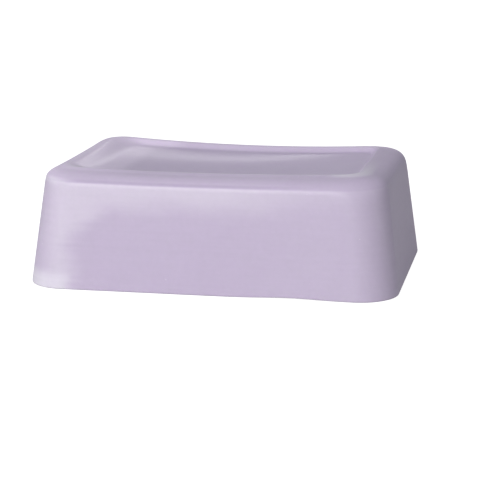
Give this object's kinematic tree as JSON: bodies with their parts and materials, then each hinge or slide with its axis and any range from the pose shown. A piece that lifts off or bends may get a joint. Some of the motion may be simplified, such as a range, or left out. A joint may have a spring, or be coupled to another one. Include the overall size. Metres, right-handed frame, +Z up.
{
  "type": "soap mould",
  "caption": "Flexible silicone soap mould, rim down over its cast soap block: a tapered rounded box with a soft border round a sunk panel, which lifts off the block.",
  "frame": {"origin": "middle of the rim's plane, which is the surface that the mould and the block stand on", "axes": "+X along the long side, +Y along the short side, +Z up from the rim to the mould's foot, which is on top here"},
  "size_m": [0.17, 0.121, 0.0527],
  "materials": {
    "silicone": "translucent lavender silicone, satin, slightly waxy",
    "soap": "cast soap, waxy, faint swirls and small bubbles"
  },
  "bodies": {
    "block": {"soap_block": "soap"},
    "mould": {"mould": "silicone"}
  },
  "joints": [
    {"name": "mould_lift", "type": "slide", "parent": "block", "child": "mould", "axis": [0, 0, 1], "range_m": [0, 0.065]}
  ]
}
